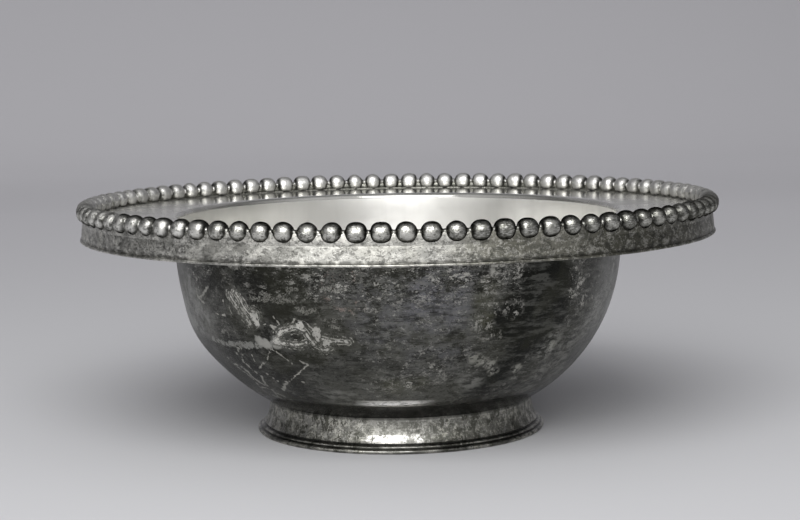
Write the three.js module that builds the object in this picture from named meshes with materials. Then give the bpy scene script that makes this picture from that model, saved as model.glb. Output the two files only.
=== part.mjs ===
// A raised silver bowl with a wide flat flange, an apron hanging from its edge, a beaded rim and a foot ring.
// Lengths are millimetres and +Z is up. The origin is on the table, on the bowl's axis, and -Y is the front.
import * as THREE from 'three';

// Joints between the pieces
const SOLDER_FILM = 0.3; // gap that solder fills wherever two pieces meet

// Bowl and flange, raised from one sheet
const SHEET = 1.6; // thickness of the sheet
const MOUTH_RADIUS = 91.9; // inside radius of the upright wall
const MOUTH_EDGE_RADIUS = 2.0; // rounding from the flange's top down into the mouth
const FLANGE_RADIUS = 129.5; // outer edge of the flange, inside the apron
const BOWL_DEPTH = 86; // from the flange's top to the underside of the flat base
const UPRIGHT_WALL = 12; // part of that depth where the wall stands upright
const BASE_RADIUS = 30; // flat middle of the base
const BASE_FULLNESS = 0.32; // pull of the flat base on the belly's curve, 0 to 1
const WALL_FULLNESS = 0.7; // pull of the upright wall on the belly's curve, 0 to 1
const CENTRE_MARK_RADIUS = 1.2; // compass mark under the base
const CENTRE_MARK_DEPTH = 0.5;

// Foot ring
const FOOT_LIFT = 6; // clear height under the flat base
const FOOT_NECK_RADIUS = 55.5; // outside radius of the neck
const FOOT_FLARE_REACH = 5.3; // how far the edge stands out past the neck
const FOOT_WALL = 2.0;
const FOOT_STANDING_WIDTH = 2.2; // flat face that stands on the table
const FOOT_EDGE_TURN = 1.4; // how far the edge turns in at the table
const FOOT_ROLL_HEIGHT = 1.5; // rolled moulding at the bottom of the edge
const FOOT_STEP_REACH = 1.5; // how far each of the two steps above the roll stands back
const FOOT_STEP_RISE = 1.25; // height of each step
const FOOT_STEP_SLOPE = 0.35; // fall of a step's tread
const FOOT_FLARE_HEIGHT = 8; // concave flare from the upper step up to the neck
const FOOT_FLARE_SPREAD = 0.6; // how far the flare's bend stands out past the neck
const FOOT_INSIDE_HEIGHT = 9.2; // height from which the inside face spreads downwards

// Apron, the band that hangs from the flange's edge
const APRON_FLARE = 1.2; // how far the rolled bottom edge stands out past the shoulder
const APRON_DEPTH = 9.1; // from the flange's top to its bottom edge
const APRON_WALL = 1.5;
const APRON_ROLL_RADIUS = 0.55; // half-round bottom edge
const APRON_BEVEL = 0.8; // bevel on the shoulder, under the beads

// Beads on their core wire
const BEAD_DIAMETER = 8;
const BEAD_SPACE = 0.88; // clear space between two beads on the wire
const BEAD_SETBACK = 1.3; // bead circle inside the apron's shoulder
const BEAD_SINK = 0.9; // how far a bead's lowest point is let in below the flange's top
const WIRE_RADIUS = 1.5; // wire that shows between two beads
const BASE_STRIP_WIDTH = 2.2; // strip under the beads, inside the bead circle
const FIRST_BEAD_TURN = 1.38; // degrees from the front to the first bead

// Solder fillets inside the two corners
const FOOT_FILLET = 2.0;
const RIM_FILLET = 2.2;

// Fineness of the round forms
const ROUND_SEGMENTS = 64;
const BELLY_STEPS = 9;
const EDGE_STEPS = 3;
const FLARE_STEPS = 4;
const BEAD_STEPS = 4; // spans along the wire from one neck to the next
const BEAD_ARC_STEPS = 6; // spans round a bead from its outer foot to its inner foot

// Levels and radii that follow from the sizes above
const baseHeight = FOOT_LIFT;
const flangeTop = FOOT_LIFT + BOWL_DEPTH;
const flangeUnderside = flangeTop - SHEET;
const wallRadius = MOUTH_RADIUS + SHEET;
const uprightFrom = flangeTop - UPRIGHT_WALL;
const apronBottom = flangeTop - APRON_DEPTH;
const apronInnerTopRadius = FLANGE_RADIUS + SOLDER_FILM;
const apronRadius = apronInnerTopRadius + APRON_WALL;
const apronEdgeRadius = apronRadius + APRON_FLARE;
const apronInnerEdgeRadius = apronEdgeRadius - APRON_ROLL_RADIUS - APRON_WALL;
const footRadius = FOOT_NECK_RADIUS + FOOT_FLARE_REACH;
const footEdgeTop = FOOT_ROLL_HEIGHT + 2 * FOOT_STEP_RISE;
const beadRadius = BEAD_DIAMETER / 2;
const beadCircle = apronRadius - BEAD_SETBACK;
const beadHeight = flangeTop + beadRadius - BEAD_SINK;
const beadCount = Math.round((2 * Math.PI * beadCircle) / (BEAD_DIAMETER + BEAD_SPACE));

const point = (radius, height) => new THREE.Vector2(radius, height);

// Outer face of the belly, from the edge of the flat base up to the upright wall.
const belly = new THREE.CubicBezierCurve(
  point(BASE_RADIUS, baseHeight),
  point(THREE.MathUtils.lerp(BASE_RADIUS, wallRadius, BASE_FULLNESS), baseHeight),
  point(wallRadius, THREE.MathUtils.lerp(uprightFrom, baseHeight, WALL_FULLNESS)),
  point(wallRadius, uprightFrom),
);

// Point beside the belly's outer face: a positive distance lies in the metal, a negative one outside it.
function besideBelly(t, distance) {
  const along = belly.getTangent(t);
  return belly.getPoint(t).add(point(-along.y, along.x).multiplyScalar(distance));
}

// Place on the belly's outer face that has this radius, as a share of the curve.
function bellyShareAt(radius) {
  let low = 0;
  let high = 1;
  for (let i = 0; i < 40; i += 1) {
    const middle = (low + high) / 2;
    if (belly.getPoint(middle).x < radius) low = middle;
    else high = middle;
  }
  return low;
}

// Point below the bowl, one film of solder away from its outer face.
function underBowl(radius) {
  return besideBelly(bellyShareAt(radius), -SOLDER_FILM);
}

function bellyPoints(distance) {
  const points = [];
  for (let i = 0; i <= BELLY_STEPS; i += 1) points.push(besideBelly(i / BELLY_STEPS, distance));
  return points;
}

function arcPoints(centre, radius, fromDegrees, toDegrees, steps) {
  const points = [];
  for (let i = 0; i <= steps; i += 1) {
    const turn = THREE.MathUtils.degToRad(THREE.MathUtils.lerp(fromDegrees, toDegrees, i / steps));
    points.push(point(centre.x + radius * Math.cos(turn), centre.y + radius * Math.sin(turn)));
  }
  return points;
}

// Closes a section that doesn't start and end on the axis.
function closed(section) {
  return [...section, section[0].clone()];
}

function silver(color, roughness) {
  return new THREE.MeshStandardMaterial({ color, roughness, metalness: 1 });
}

function namedMesh(name, geometry, material) {
  const mesh = new THREE.Mesh(geometry, material);
  mesh.name = name;
  return mesh;
}

function turned(name, profile, material) {
  return namedMesh(name, new THREE.LatheGeometry(profile, ROUND_SEGMENTS), material);
}

// Bowl, base and flange in one piece of sheet.
function makeBowlBody() {
  const mouthEdge = point(MOUTH_RADIUS + MOUTH_EDGE_RADIUS, flangeTop - MOUTH_EDGE_RADIUS);
  const profile = [
    point(0, baseHeight + CENTRE_MARK_DEPTH),
    point(CENTRE_MARK_RADIUS, baseHeight),
    ...bellyPoints(0),
    point(wallRadius, flangeUnderside),
    point(FLANGE_RADIUS, flangeUnderside),
    point(FLANGE_RADIUS, flangeTop),
    ...arcPoints(mouthEdge, MOUTH_EDGE_RADIUS, 90, 180, EDGE_STEPS),
    ...bellyPoints(SHEET).reverse(),
    point(0, baseHeight + SHEET),
  ];
  return turned('bowl_body', profile, silver(0x8d8e8b, 0.38));
}

// Band round the flange's edge, with a half-round roll along its bottom.
function makeRimApron() {
  const rollCentre = point(apronEdgeRadius - APRON_ROLL_RADIUS, apronBottom + APRON_ROLL_RADIUS);
  const section = [
    point(apronInnerEdgeRadius, apronBottom),
    ...arcPoints(rollCentre, APRON_ROLL_RADIUS, -90, 90, EDGE_STEPS),
    point(apronRadius, flangeTop - APRON_BEVEL),
    point(apronRadius - APRON_BEVEL, flangeTop),
    point(apronInnerTopRadius, flangeTop),
  ];
  return turned('rim_apron', closed(section), silver(0x9a9b97, 0.42));
}

// Section through the beads' strip where its thickness round the wire's line is reach.
function beadSection(reach) {
  const seat = flangeTop + SOLDER_FILM;
  const outerSeat = seat - APRON_BEVEL;
  const crown = arcPoints(point(beadCircle, beadHeight), reach, -45, 225, BEAD_ARC_STEPS);
  return [
    point(apronRadius, outerSeat),
    ...crown.map((p) => point(p.x, Math.max(p.y, p.x > beadCircle ? outerSeat : seat))),
    point(beadCircle - BASE_STRIP_WIDTH, seat),
    point(apronRadius - APRON_BEVEL, seat),
  ];
}

// Solid beads worked on one core wire: sections lofted right round the rim, from neck to bead to neck.
function makeBeadMoulding() {
  const pitch = (2 * Math.PI) / beadCount;
  const vertices = [];
  const faces = [];
  const around = beadSection(WIRE_RADIUS).length;
  const stations = beadCount * BEAD_STEPS;
  for (let station = 0; station < stations; station += 1) {
    const bead = Math.floor(station / BEAD_STEPS);
    const step = station % BEAD_STEPS;
    const latitude = Math.PI * (step / BEAD_STEPS - 0.5);
    const atNeck = step === 0;
    const along = atNeck ? -pitch / 2 : (beadRadius * Math.sin(latitude)) / beadCircle;
    const reach = atNeck ? WIRE_RADIUS : beadRadius * Math.cos(latitude);
    const turn = bead * pitch + along;
    for (const p of beadSection(reach)) {
      vertices.push(p.x * Math.sin(turn), p.y, p.x * Math.cos(turn));
    }
    const next = (station + 1) % stations;
    for (let i = 0; i < around; i += 1) {
      const j = (i + 1) % around;
      const [a, b] = [station * around + i, station * around + j];
      const [c, d] = [next * around + j, next * around + i];
      faces.push(a, d, c, a, c, b);
    }
  }
  const geometry = new THREE.BufferGeometry();
  geometry.setAttribute('position', new THREE.Float32BufferAttribute(vertices, 3));
  geometry.setIndex(faces);
  geometry.computeVertexNormals();
  const mesh = namedMesh('bead_moulding', geometry, silver(0xb4b4b0, 0.25));
  mesh.rotation.y = THREE.MathUtils.degToRad(FIRST_BEAD_TURN);
  return mesh;
}

// Solder run into the corner between the flange's underside and the apron.
function makeRimSolder() {
  const apronInside = (height) => THREE.MathUtils.mapLinear(
    height, flangeTop, apronBottom, apronInnerTopRadius, apronInnerEdgeRadius,
  );
  const top = flangeUnderside - SOLDER_FILM;
  const bottom = top - RIM_FILLET;
  const corner = point(apronInside(top) - SOLDER_FILM, top);
  const section = [
    point(apronInside(bottom) - SOLDER_FILM, bottom),
    corner,
    point(corner.x - RIM_FILLET, top),
  ];
  return turned('rim_solder_seam', closed(section), silver(0x777872, 0.6));
}

// Flared ring that carries the bowl: a rolled edge, two steps and a hollow flare, topped to the belly's underside.
function makeFootRing() {
  const standingRadius = footRadius - FOOT_EDGE_TURN;
  const neckInside = FOOT_NECK_RADIUS - FOOT_WALL;
  const lowerStep = footRadius - FOOT_STEP_REACH;
  const upperStep = lowerStep - FOOT_STEP_REACH;
  const flare = new THREE.QuadraticBezierCurve(
    point(upperStep, footEdgeTop),
    point(FOOT_NECK_RADIUS + FOOT_FLARE_SPREAD, footEdgeTop + FOOT_FLARE_HEIGHT / 3),
    point(FOOT_NECK_RADIUS, footEdgeTop + FOOT_FLARE_HEIGHT),
  );
  const section = [
    point(standingRadius - FOOT_STANDING_WIDTH, 0),
    point(standingRadius, 0),
    point(footRadius, FOOT_ROLL_HEIGHT / 2),
    point(footRadius, FOOT_ROLL_HEIGHT),
    point(lowerStep, FOOT_ROLL_HEIGHT + FOOT_STEP_SLOPE),
    point(lowerStep, FOOT_ROLL_HEIGHT + FOOT_STEP_RISE),
    point(upperStep, FOOT_ROLL_HEIGHT + FOOT_STEP_RISE + FOOT_STEP_SLOPE),
    ...flare.getPoints(FLARE_STEPS),
    underBowl(FOOT_NECK_RADIUS),
    underBowl(neckInside),
    point(neckInside, FOOT_INSIDE_HEIGHT),
  ];
  return turned('foot_ring', closed(section), silver(0x989995, 0.36));
}

// Solder run into the corner between the base and the inside of the foot ring.
function makeFootSolder() {
  const outside = FOOT_NECK_RADIUS - FOOT_WALL - SOLDER_FILM;
  const corner = underBowl(outside);
  const section = [
    point(corner.x, corner.y - FOOT_FILLET),
    corner,
    underBowl(outside - FOOT_FILLET),
  ];
  return turned('foot_solder_seam', closed(section), silver(0x777872, 0.6));
}

// three.js turns its profiles round +Y, so one quarter turn stands the whole bowl on +Z.
const bowl = new THREE.Group();
bowl.rotation.x = Math.PI / 2;

const rim = new THREE.Group();
rim.add(makeRimApron(), makeBeadMoulding(), makeRimSolder());

const foot = new THREE.Group();
foot.add(makeFootRing(), makeFootSolder());

bowl.add(makeBowlBody(), rim, foot);

export default bowl;
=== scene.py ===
import logging
import math
from dataclasses import dataclass
from enum import Enum
from functools import partial, reduce

import bmesh
import bpy
from mathutils import Matrix, Vector, noise
from mathutils.geometry import interpolate_bezier


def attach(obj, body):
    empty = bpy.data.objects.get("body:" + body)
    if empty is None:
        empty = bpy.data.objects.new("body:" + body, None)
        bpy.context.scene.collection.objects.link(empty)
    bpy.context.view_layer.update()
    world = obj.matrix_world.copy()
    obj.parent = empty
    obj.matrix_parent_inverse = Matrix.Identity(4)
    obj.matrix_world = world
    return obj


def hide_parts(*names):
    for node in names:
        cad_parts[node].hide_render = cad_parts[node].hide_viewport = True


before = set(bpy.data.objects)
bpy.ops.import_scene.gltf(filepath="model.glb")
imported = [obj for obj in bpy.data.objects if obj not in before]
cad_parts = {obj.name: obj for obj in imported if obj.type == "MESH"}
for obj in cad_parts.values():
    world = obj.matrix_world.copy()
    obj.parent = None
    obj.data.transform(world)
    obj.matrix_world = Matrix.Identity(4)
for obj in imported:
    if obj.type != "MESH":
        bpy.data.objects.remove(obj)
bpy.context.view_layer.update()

LOG = logging.getLogger("bowl")
MM = 0.001
BODY = "root"
WEDGES = 16  # equal parts in which a turned shape is made
SMOOTH = {"interpolation_type": "SMOOTHSTEP"}
Out = bpy.types.NodeSocket  # an output of a node
Line = list[tuple[float, float]]  # radius and height of each point, in millimetres


class Slot(Enum):
    """The record's material slots."""

    RAISED = "raised_silver"
    APRON = "apron_silver"
    BEADS = "bead_silver"
    FOOT = "foot_silver"
    SOLDER = "solder"


def linear(code: int) -> tuple[float, float, float, float]:
    """Turns an sRGB hex colour into linear RGBA.

    Args:
        code: the colour, as 0xRRGGBB.

    Returns:
        Linear red, green, blue and an alpha of one.
    """
    shares = [((code >> shift) & 255) / 255 for shift in (16, 8, 0)]
    red, green, blue = [s / 12.92 if s <= 0.04045 else ((s + 0.055) / 1.055) ** 2.4 for s in shares]
    return red, green, blue, 1.0


def polar(turn: float, radius: float, height: float) -> Vector:
    """Gives the point at a turn round the bowl's axis.

    Args:
        turn: degrees from the front, positive towards the right.
        radius: distance from the axis.
        height: height over the table.

    Returns:
        The point, in the unit of radius and height.
    """
    angle = math.radians(turn)
    return Vector((radius * math.sin(angle), -radius * math.cos(angle), height))


def turn_of(point: Vector) -> float:
    """Gives the turn of a point round the axis, in degrees from the front."""
    return math.degrees(math.atan2(point.x, -point.y))


def belly_curve(inset: float = 0.0, steps: int = 40) -> Line:
    """Gives the belly's outer line, or a line inside the metal beside it.

    Args:
        inset: distance into the metal, in millimetres.
        steps: number of points.

    Returns:
        The line from the flat base up to the upright wall.
    """
    knots = ((30.0, 6.0), (50.32, 6.0), (93.5, 28.2), (93.5, 80.0))
    line = interpolate_bezier(*(Vector((r, z, 0.0)) for r, z in knots), steps)
    points = []
    for i, here in enumerate(line):
        along = (line[min(i + 1, steps - 1)] - line[max(i - 1, 0)]).normalized()
        points.append((here.x - along.y * inset, here.y + along.x * inset))
    return points


def belly_place(turn: float, height: float) -> Vector:
    """Gives a point on the bowl's outer face.

    Args:
        turn: degrees from the front, positive towards the right.
        height: height over the table, in millimetres.

    Returns:
        The point, in millimetres.
    """
    line = belly_curve()
    if height >= line[-1][1]:
        return polar(turn, line[-1][0], height)
    for (r0, z0), (r1, z1) in zip(line, line[1:]):
        if z0 <= height <= z1:
            share = (height - z0) / max(z1 - z0, 1e-6)
            return polar(turn, r0 + (r1 - r0) * share, height)
    return polar(turn, line[0][0], height)


def belly_line(*marks: float) -> list[Vector]:
    """Turns numbers, a turn and a height by turns, into places on the bowl's outer face."""
    return [belly_place(turn, height) for turn, height in zip(marks[::2], marks[1::2])]


def belly_lines(*lines: tuple[float, ...]) -> list[list[Vector]]:
    """Turns several such rows of numbers into lines on the bowl's outer face."""
    return [belly_line(*line) for line in lines]


def add_node(tree: bpy.types.NodeTree, kind: str, *values, pick: str = "", named: dict | None = None, **settings):
    """Adds a node with its settings and links.

    Args:
        tree: the nodes that it joins.
        kind: the node's type, without its ShaderNode prefix.
        values: for each of its sockets in use, in order, a number, a colour, an output, or None to leave it.
        pick: name of the output that is wanted, or nothing for the first.
        named: further sockets by name.
        settings: the node's own properties.

    Returns:
        The output socket, or the node if it has none.
    """
    node = tree.nodes.new("ShaderNode" + kind)
    for key, value in settings.items():
        setattr(node, key, value)
    sockets = [s for s in node.inputs if s.enabled]
    pairs = list(zip(sockets, values))
    pairs += [(next(s for s in sockets if s.name == key), value) for key, value in (named or {}).items()]
    for socket, value in pairs:
        if isinstance(value, bpy.types.NodeSocket):
            tree.links.new(value, socket)
        elif value is not None:
            socket.default_value = value
    outputs = [s for s in node.outputs if s.enabled]
    return next((s for s in outputs if s.name == pick), outputs[0] if outputs else node)


class Work:
    """The nodes of one material, with the patterns that several finishes share.

    Places and lengths are in millimetres, turns in degrees from the front, and a mask goes from zero to one.
    """

    def __init__(self, name: str, ground: int) -> None:
        """Starts a material of one colour.

        Args:
            name: the material's name.
            ground: sRGB hex of the colour under all others.
        """
        self.material = bpy.data.materials.new(name)
        self.material.use_nodes = True
        self.material.node_tree.nodes.clear()
        self.add = partial(add_node, self.material.node_tree)
        self.colour = linear(ground)
        self.raw = self.add("TexCoord", pick="Object")
        self.place = self.add("VectorMath", self.raw, 1000.0, operation="SCALE")

    def grain(self, size: float, low: float, high: float, detail: float, seed: float, harsh: float = 0.55,
              wide: float = 1.0, tall: float = 1.0) -> Out:
        """Draws a cloudy grain whose patches have a real size.

        Args:
            size: patch size in millimetres.
            low: noise value that becomes zero.
            high: noise value that becomes one.
            detail: number of finer layers.
            seed: shift that makes one grain unlike the next.
            harsh: how strong the finer layers are.
            wide: how much longer a patch is along x and y.
            tall: how much longer a patch is along z.

        Returns:
            The mask.
        """
        rate = tuple(1.0 / (size * share) for share in (wide, wide, tall))
        at = self.add("VectorMath", self.place, rate, (seed, seed * 1.7, seed * 0.6), operation="MULTIPLY_ADD")
        return self.add("MapRange", self.add("TexNoise", at, 1.0, detail, harsh), low, high, **SMOOTH)

    def both(self, *masks: Out | float) -> Out:
        """Gives the mask where all the masks are."""
        return reduce(partial(self.add, "Math", operation="MULTIPLY"), masks)

    def either(self, first: Out, second: Out) -> Out:
        """Gives the mask where either mask is."""
        return self.add("Math", first, second, operation="MAXIMUM")

    def warped(self, size: float, reach: float, detail: float = 3.0) -> Out:
        """Gives the places, shaken so that straight outlines turn ragged.

        Args:
            size: size of the shakes.
            reach: how far they push.
            detail: number of finer layers.

        Returns:
            The shaken places.
        """
        at = self.add("VectorMath", self.place, 1.0 / size, operation="SCALE")
        shake = self.add("TexNoise", at, 1.0, detail, 0.6, pick="Color")
        centred = self.add("VectorMath", shake, (0.5, 0.5, 0.5), operation="SUBTRACT")
        return self.add("VectorMath", centred, (2 * reach,) * 3, self.place, operation="MULTIPLY_ADD")

    def near(self, spots: list[Vector], reach: float, soft: float, place: Out) -> Out:
        """Draws spots round some places.

        Args:
            spots: their centres.
            reach: distance at which a spot is gone.
            soft: distance inside reach over which it fades.
            place: the places, plain or shaken.

        Returns:
            The mask.
        """
        gaps = (self.add("VectorMath", place, tuple(spot), operation="DISTANCE") for spot in spots)
        gap = reduce(partial(self.add, "Math", operation="MINIMUM"), gaps)
        return self.add("MapRange", gap, reach, reach - soft, **SMOOTH)

    def gap_to_span(self, start: Vector, end: Vector, place: Out) -> Out:
        """Measures how far the surface is from the straight span between two points."""
        span = end - start
        offset = self.add("VectorMath", place, tuple(-start), operation="ADD")
        share = self.add("VectorMath", offset, tuple(span / span.length_squared), operation="DOT_PRODUCT")
        foot = self.add("VectorMath", tuple(span), self.add("Clamp", share), operation="SCALE")
        return self.add("VectorMath", offset, foot, operation="DISTANCE")

    def gap_to_lines(self, lines: list[list[Vector]], place: Out) -> Out:
        """Measures how far the surface is from the nearest of some lines."""
        gaps = (self.gap_to_span(*span, place) for line in lines for span in zip(line, line[1:]))
        return reduce(partial(self.add, "Math", operation="MINIMUM"), gaps)

    def worn(self, gap: Out, wear: Out, reach: float, least: float, soft: float) -> Out:
        """Draws a line whose width comes and goes with the wear.

        Args:
            gap: distance to the line.
            wear: a grain.
            reach: how much the wear adds to the line's half width.
            least: half width where there is no wear, or a negative number for a broken line.
            soft: width of the edge's fade.

        Returns:
            The mask.
        """
        edge = self.add("Math", wear, -reach, gap, operation="MULTIPLY_ADD")
        return self.add("MapRange", edge, least, least - soft, **SMOOTH)

    def within(self, value: Out, low: float, high: float, fade: float) -> Out:
        """Draws a mask where a value is between two limits, which fades outside them."""
        rise = self.add("MapRange", value, low - fade, low, **SMOOTH)
        return self.both(rise, self.add("MapRange", value, high, high + fade, 1.0, 0.0, **SMOOTH))

    def turned(self, from_turn: float, to_turn: float, soft: float) -> Out:
        """Draws a mask between two turns round the bowl's axis, which fades outside them."""
        side = self.add("SeparateXYZ", self.place)
        front = self.both(side.node.outputs["Y"], -1.0)
        turn = self.add("Math", side, front, operation="ARCTAN2")
        return self.within(turn, *(math.radians(a) for a in (from_turn, to_turn, soft)))

    def raised(self, low: float, high: float, soft: float) -> Out:
        """Draws a mask between two heights over the table, which fades outside them."""
        return self.within(self.add("SeparateXYZ", self.place, pick="Z"), low, high, soft)

    def behind(self, first: float, soft: float) -> Out:
        """Draws a mask round the back, from one turn on the right to the same on the left."""
        return self.either(self.turned(first, 200.0, soft), self.turned(-200.0, -first, soft))

    def lay(self, code: int, strength: float, *masks: Out) -> None:
        """Lays a colour over what is there, where all the masks are.

        Args:
            code: sRGB hex of the new colour.
            strength: how much of it shows.
            masks: the masks.
        """
        share = self.both(*masks, strength)
        self.colour = self.add("Mix", share, self.colour, linear(code), data_type="RGBA")

    def finish(self, rough: Out | float, relief: Out, depth: float, **sockets) -> bpy.types.Material:
        """Closes the material as bare metal.

        Args:
            rough: roughness output or number.
            relief: height pattern.
            depth: height of the relief.
            sockets: other values for the shader's own sockets, by name with _ for a space.

        Returns:
            The material.
        """
        values = {"Base Color": self.colour, "Metallic": 1.0, "Roughness": rough}
        values.update({key.replace("_", " "): value for key, value in sockets.items()})
        values["Normal"] = self.add("Bump", named={"Strength": 1.0, "Distance": depth * MM, "Height": relief})
        self.add("OutputMaterial", self.add("BsdfPrincipled", named=values))
        return self.material


# Marks in the tarnish of the left side and the front, as turn and height by turns on the outer face.
ROPES = belly_lines(
    (-43.7, 67.2, -42.5, 65.4, -41, 61.2, -39.6, 58.7, -38.1, 55.1),
    (-38.7, 60.2, -37.3, 59.5, -37.2, 57.4, -38.2, 55.5),
    (-45.4, 65.6, -44, 62.2, -42.2, 58.2, -40.6, 54.6),
    (-31.7, 51.3, -30.7, 52.7, -28.4, 53.7, -26.4, 54.8, -25.2, 54, -23.8, 53.2, -23.2, 51.2, -22, 48.1, -21.1, 46.8,
     -19.8, 45.7, -17.9, 46.3),
    (-20.4, 54.3, -20.9, 51.8, -20.8, 49.8, -20.4, 48.5),
    (-19.8, 50.5, -17.7, 49.4, -15.3, 49.6, -12.8, 49.5),
    (-32.3, 48, -29.8, 47.7, -26.5, 47.4, -24, 48.5),
)
THREADS = belly_lines(
    (-46.1, 64.7, -45.8, 62.8, -46.6, 60, -46.1, 57.6),
    (-44.3, 66, -44.2, 61.2, -42.6, 55.4, -41, 53),
    (-43, 66.4, -42.6, 62.4, -41, 58.4, -39.9, 54.6),
    (-41.1, 65.6, -40.3, 63.7, -39.6, 61.3, -38.7, 60.2),
    (-38.1, 54.9, -35.9, 54.9, -33.7, 54.8, -32.1, 54.1),
    (-40.5, 55.2, -41.4, 53, -42.4, 50.8),
    (-32.2, 58.4, -31.3, 56.7, -30.8, 55.1),
    (-33.4, 54.4, -32.5, 53.1, -31.9, 51.7),
    (-27.1, 56.4, -26, 58.1, -24.4, 57.4, -23.1, 56.5, -21.4, 54),
    (-45.2, 44.9, -44.5, 42.6, -44, 40.9, -44, 38.3),
    (-35.8, 44.5, -37.2, 42.2, -38.6, 39.9),
    (-39.4, 38.9, -41.2, 37.7, -44, 35.3),
    (-35.8, 44.6, -34.1, 43.5, -31.9, 41.1, -30.4, 38.9),
    (-27.6, 40.4, -25.7, 39.1, -28.6, 36, -31.7, 33.1, -34.6, 30.6, -36.4, 30.2),
    (-53, 26.6, -52.9, 25.1, -48.8, 25.4, -46.1, 24.7),
    (-53.1, 57, -49.4, 56.5),
)
FAINT_LINES = belly_lines(
    (-61.5, 65.7, -61.2, 62.5, -58.3, 59.8),
    (-54.4, 67.3, -56.9, 64.9, -59.6, 62.2),
    (-47.6, 44.2, -48.8, 42.6, -50.6, 40.7),
    (-47, 43.2, -47.6, 41, -49.6, 37.7),
    (-57.4, 37.4, -56.6, 35.3, -53.4, 34.6, -51.4, 32.4, -50.6, 28.6, -48, 26.6),
    (-56.1, 33.8, -53.1, 31.6, -51.8, 28.8),
    (-49.6, 37.7, -48.5, 35, -47.1, 32.7),
    (-45.5, 31.4, -46.8, 28.5, -47.3, 26.7),
    (-46.1, 24.7, -47.3, 21.4, -46.2, 19.9, -43.6, 19.5, -40.5, 19.9),
    (-46.5, 23.5, -44, 22.7, -41.3, 20.2),
    (-35.7, 29.8, -38.1, 28, -40.3, 25.9),
)
PALE_BANDS = belly_lines(
    (-59.8, 45.3, -54.2, 44.7, -49, 45, -44.1, 45.1, -38.5, 46.2, -34.7, 46.7),
    (-38.6, 48.9, -38.6, 46.6),
    (-32.8, 49.6, -33.4, 47.2),
)
PALE_BLOBS = belly_line(-38.6, 47.8, -36.6, 46.8, -32.9, 48.5, -33.2, 47)
DARK_LEFT = belly_line(-52.8, 69.5, -50, 73, -55.5, 66.5, -47.5, 67, -41.5, 71.5, -36.5, 70.5, -36.5, 63.5, -32.5,
    60.5, -29, 60.5, -33, 73.5)
BARE_SPOTS = belly_line(-24.9, 55.4, -20.5, 53.5, -20.9, 51.6, -38.4, 58.1, -18.8, 48.2, -33, 48.3, -38.1, 55.4)
SMALL_SPOTS = belly_line(-49.3, 56.6, -48.5, 62.6, -45.7, 31.1, -52.3, 26.8, -29.7, 30.9, -42.1, 32.9, -40.7, 31.3,
    -39.5, 30, -42, 63.9, -26.8, 39.8, -25.8, 39.2, -40.9, 37.9)
LEVEL_FLAKES = belly_lines(
    (-38.2, 65, -31.2, 65.2),
    (-29.9, 64.9, -25.8, 65),
    (-34.8, 67.4, -32.3, 66.4),
    (-26.9, 69.3, -24.3, 69.3),
    (-25, 62.2, -23.3, 61.5),
    (-22.5, 61, -20.6, 61.6),
    (-16.4, 55.6, -15, 55.4),
    (-17.6, 69.8, -14, 69.9),
)
GREY_SIDE = belly_line(-66.5, 64.1, -63.4, 60.5, -62.6, 56.5, -60, 52.9, -66, 46.6, -72, 54, -71, 48, -62.2, 44.8,
    -76, 58, -80, 50)
PALE_SPOTS = belly_line(19.9, 41.3, 22.1, 39.7, 25.2, 38, 27, 34.7, 35, 34.6, 45.2, 42.8, 31.3, 80.5, 25, 79.5, 23,
    75.5)
STREAKS = belly_line(43.5, 40.1, 45.2, 45.7, 51.7, 41.5, 55.6, 43.6, 59.9, 46, 60.6, 50.1, 61.3, 56.1, 53.9, 34.6,
    46.8, 30.8, 57.3, 28.6, 47.2, 24.9, 20.8, 30.7, -19.7, 24.6, -16, 24.4, 66, 50, 68, 62)
SPECK_PATCHES = belly_line(24.2, 61.9, 26.1, 62.9, 22, 64.5, 29, 60.5, 19.9, 56.1, 22.1, 52.6, 23.8, 49.1, 24.3,
    76.5, 29.7, 76, 47.5, 74.7, 48.6, 70.6, 47.5, 62.8, 52.4, 59.9, 50.3, 66.3, -4, 30.6, 2.8, 31, 8.8, 36.9)
OLIVE_PATCHES = belly_line(21.3, 70.4, 21, 64.6, 20.8, 57.6, -2, 30, 4, 31.5)
BLUE_PATCHES = belly_line(9.6, 65.6, 7.3, 69.6, 13.3, 63.4, 5, 60)
DARK_PATCH = belly_line(25.3, 55.4, 28.5, 52.6, 31.9, 53.3, 36.1, 52.6, 40.1, 49.9, 33.7, 48.5, 40.7, 73.8, 44.1,
    69.3, 43.2, 61.5, 40.2, 58, 36.6, 56.4, 38.6, 77.2, 36, 68, 34, 62, 31, 70, 29.5, 63.5, 42.5, 54, 41, 46, 33, 42,
    29, 33, 24.5, 28.5)
RUSTY_SPOTS = belly_line(-14.9, 69.3, -12.6, 66.3, -13, 78.5)


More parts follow.
